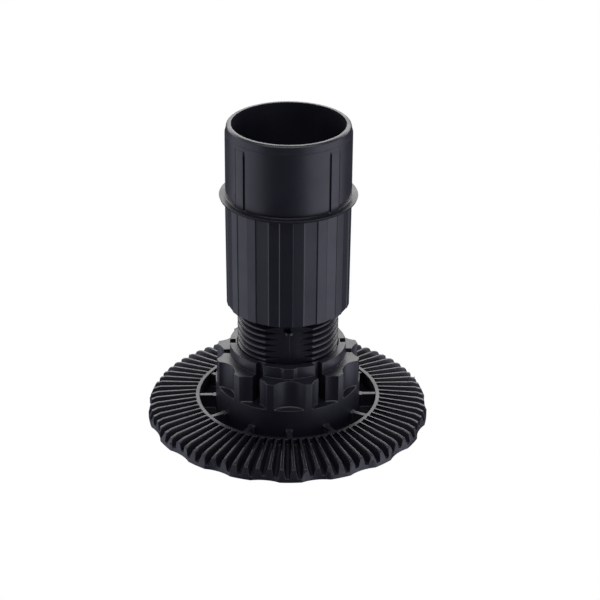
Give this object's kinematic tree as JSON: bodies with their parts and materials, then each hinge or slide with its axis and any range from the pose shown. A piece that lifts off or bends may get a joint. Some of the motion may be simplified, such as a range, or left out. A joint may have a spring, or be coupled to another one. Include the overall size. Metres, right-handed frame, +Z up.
{
  "type": "adjustable cabinet leg",
  "caption": "Black plastic cabinet leg: wide round toothed foot, flat-sided threaded tube and a hollow fluted sleeve with a flange and a round spigot, adjustable in height.",
  "frame": {"origin": "middle of the foot's flat underside, on the leg's axis", "axes": "+Z up along the leg's axis; -Y towards the side the picture shows, where one flat of the tube and the nub are"},
  "size_m": [0.0796, 0.08, 0.0884],
  "materials": {
    "foot_plastic": "moulded black plastic, satin",
    "tube_plastic": "moulded black plastic, satin",
    "sleeve_plastic": "moulded black plastic, satin"
  },
  "bodies": {
    "foot": {"foot": "foot_plastic"},
    "tube": {"threaded_tube": "tube_plastic"},
    "sleeve": {"sleeve": "sleeve_plastic"}
  },
  "joints": [
    {"name": "turn", "type": "hinge", "parent": "foot", "child": "tube", "pos_m": [0, 0, 0], "axis": [0, 0, 1], "range_deg": [-2160, 2880]},
    {"name": "lift", "type": "slide", "parent": "tube", "child": "sleeve", "axis": [0, 0, 1], "range_m": [-0.01129, 0.01505]}
  ],
  "couplings": [
    {"joint": "lift", "follows": "turn", "m_per_rad": 0.00029921}
  ]
}
